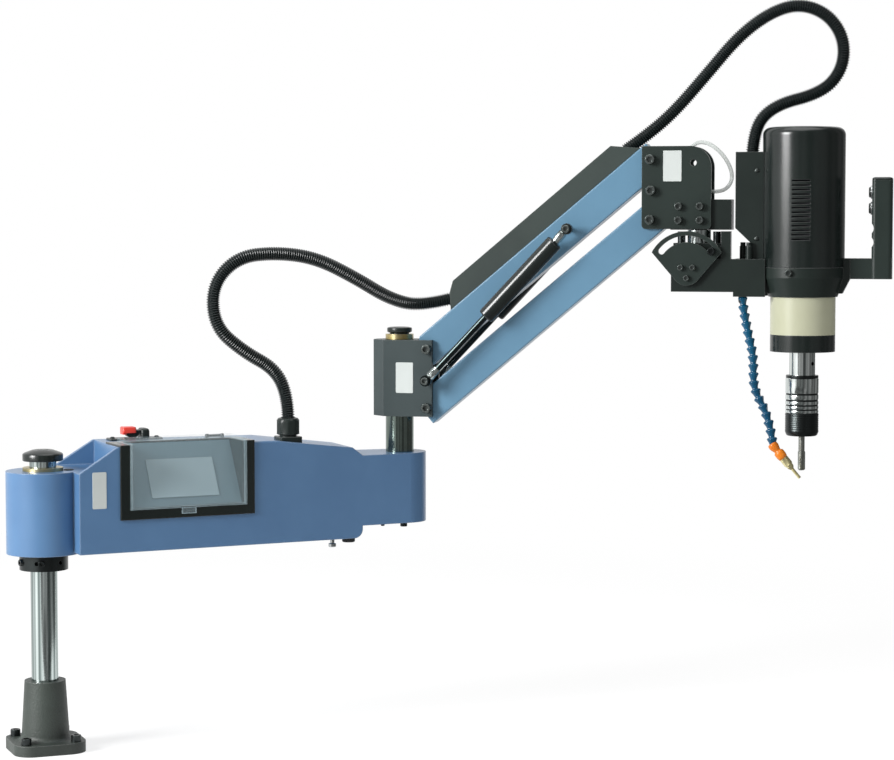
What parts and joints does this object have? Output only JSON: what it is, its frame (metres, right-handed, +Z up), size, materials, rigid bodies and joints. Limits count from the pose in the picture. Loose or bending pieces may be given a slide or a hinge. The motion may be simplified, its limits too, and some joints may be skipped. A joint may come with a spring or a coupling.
{
  "type": "arm tapping machine",
  "caption": "Swinging box arm on a column, lifting parallelogram arm and a tilting electric tapping head with handle, chuck and tap.",
  "frame": {"origin": "centre of the base flange's underside, on the column's axis", "axes": "+Z up along the column; +X along the box arm from the column to the elbow; -Y towards the display side"},
  "size_m": [1.2595, 0.5152, 1.1472],
  "materials": {
    "blue_paint": "satin",
    "black_paint": "satin",
    "black_sheet": "satin",
    "black_steel": "satin",
    "dark_casting": "matte",
    "chrome": "polished",
    "zinc": "satin",
    "steel": "satin",
    "tool_steel": "satin",
    "motor_core": "satin",
    "black_plastic": "matte",
    "panel_plastic": "matte",
    "screen": "gloss",
    "clear_pane": "gloss",
    "red_plastic": "gloss",
    "green_plastic": "gloss",
    "cream_plastic": "satin",
    "blue_plastic": "gloss",
    "orange_plastic": "gloss",
    "rubber": "matte",
    "hose_plastic": "matte",
    "clear_tube": "gloss"
  },
  "bodies": {
    "base": {"base_flange": "dark_casting", "base_bolts": "black_steel", "column": "chrome", "stop_collar": "black_steel", "column_cap": "steel"},
    "box_arm": {"box_casting": "blue_paint", "bottom_cover": "blue_paint", "hub_bushes": "zinc", "display_frame": "black_plastic", "display_panel": "panel_plastic", "display_screen": "screen", "switch_body": "black_plastic", "hose_gland": "black_plastic", "elbow_shaft": "chrome", "shaft_nut": "zinc", "shaft_cap": "black_plastic", "rubber_foot": "rubber", "servo_drive": "black_sheet", "arm_hose_rear": "hose_plastic"},
    "display_lid": {"display_lid": "clear_pane"},
    "switch_rocker": {"switch_rocker": "red_plastic"},
    "elbow_block": {"pivot_block": "black_paint", "block_bushes": "zinc", "block_bolts": "black_steel"},
    "upper_link": {"upper_link": "blue_paint", "hose_duct": "black_sheet", "spring_studs": "black_steel", "arm_hose_front": "hose_plastic", "head_hose_start": "hose_plastic"},
    "lower_link": {"lower_link": "blue_paint"},
    "spring_barrels": {"spring_barrels": "black_steel"},
    "spring_rods": {"spring_rods": "steel"},
    "head": {"head_plates": "black_steel", "head_block": "black_paint", "head_bolts": "black_steel", "air_tube": "clear_tube", "head_hose_loop": "hose_plastic"},
    "swivel": {"swivel_post": "chrome", "swivel_block": "black_paint", "swivel_fasteners": "black_steel"},
    "tilt_arm": {"tilt_arm": "black_paint", "sector_plate": "black_paint", "tilt_fasteners": "steel", "motor_clamp": "black_paint", "motor_cover": "black_sheet", "servo_motor": "motor_core", "gearbox": "black_paint", "gearbox_sleeve": "cream_plastic", "side_cover": "black_sheet", "handle": "black_plastic", "fittings": "black_plastic", "head_hose_end": "hose_plastic"},
    "coolant": {"coolant_hose": "blue_plastic", "coolant_nozzle": "orange_plastic"},
    "spindle": {"spindle": "steel", "chuck": "black_steel", "chuck_ring": "black_steel", "tap": "tool_steel"},
    "upper_button": {"upper_button": "green_plastic"},
    "lower_button": {"lower_button": "red_plastic"}
  },
  "joints": [
    {"name": "column_swivel", "type": "hinge", "parent": "base", "child": "box_arm", "pos_m": [0, 0, 0.36], "axis": [0, 0, 1], "range_deg": [-180, 180]},
    {"name": "elbow_swivel", "type": "hinge", "parent": "box_arm", "child": "elbow_block", "pos_m": [0.568, 0, 0.54], "axis": [0, 0, 1], "range_deg": [-91, 159], "deforming": ["arm_hose_rear"]},
    {"name": "arm_lift", "type": "hinge", "parent": "elbow_block", "child": "upper_link", "pos_m": [0.60962, -0.02807, 0.59], "axis": [-0.5592, -0.829, 0], "range_deg": [-60, 0], "deforming": ["arm_hose_front"]},
    {"name": "lower_link_pivot", "type": "hinge", "parent": "elbow_block", "child": "lower_link", "pos_m": [0.60962, -0.02807, 0.499], "axis": [-0.5592, -0.829, 0], "range_deg": [-60, 0]},
    {"name": "head_level", "type": "hinge", "parent": "upper_link", "child": "head", "pos_m": [0.89689, -0.22184, 0.88179], "axis": [-0.5592, -0.829, 0], "range_deg": [0, 60], "deforming": ["head_hose_start"]},
    {"name": "spring_rod_pivot", "type": "hinge", "parent": "elbow_block", "child": "spring_rods", "pos_m": [0.61111, -0.02908, 0.542], "axis": [-0.5592, -0.829, 0], "range_deg": [-57, 0]},
    {"name": "spring_barrel_pivot", "type": "hinge", "parent": "upper_link", "child": "spring_barrels", "pos_m": [0.79352, -0.15212, 0.7768], "axis": [-0.5592, -0.829, 0], "range_deg": [0, 3]},
    {"name": "head_swivel", "type": "hinge", "parent": "head", "child": "swivel", "pos_m": [0.95682, -0.26226, 0.79], "axis": [0, 0, 1], "range_deg": [-90, 90], "deforming": ["head_hose_loop"]},
    {"name": "head_tilt", "type": "hinge", "parent": "swivel", "child": "tilt_arm", "pos_m": [0.9448, -0.25415, 0.7135], "axis": [-0.5592, -0.829, 0], "range_deg": [-90, 0], "deforming": ["head_hose_end"]},
    {"name": "spindle_spin", "type": "hinge", "parent": "tilt_arm", "child": "spindle", "pos_m": [1.08739, -0.35033, 0.56], "axis": [0, 0, 1], "continuous": true},
    {"name": "lid_hinge", "type": "hinge", "parent": "box_arm", "child": "display_lid", "pos_m": [0.19928, -0.00931, 0.4628], "axis": [-0.9973, -0.0729, 0], "range_deg": [0, 100]},
    {"name": "rocker_tilt", "type": "hinge", "parent": "box_arm", "child": "switch_rocker", "pos_m": [0.147, 0.044, 0.4715], "axis": [0, -1, 0], "range_deg": [0, 20]},
    {"name": "upper_button_press", "type": "slide", "parent": "tilt_arm", "child": "upper_button", "axis": [0.829, -0.5592, 0], "range_m": [0, 0.003], "stiffness_N_per_m": 400},
    {"name": "lower_button_press", "type": "slide", "parent": "tilt_arm", "child": "lower_button", "axis": [0.829, -0.5592, 0], "range_m": [0, 0.003], "stiffness_N_per_m": 400},
    {"name": "coolant_swing", "type": "hinge", "parent": "tilt_arm", "child": "coolant", "pos_m": [1.01154, -0.29917, 0.6683], "axis": [-0.5592, -0.829, 0], "range_deg": [-25, 0]}
  ],
  "couplings": [
    {"joint": "lower_link_pivot", "follows": "arm_lift", "ratio": 1},
    {"joint": "head_level", "follows": "arm_lift", "ratio": -1},
    {"joint": "spring_rod_pivot", "follows": "arm_lift", "ratio": 0.95},
    {"joint": "spring_barrel_pivot", "follows": "arm_lift", "ratio": -0.05}
  ]
}
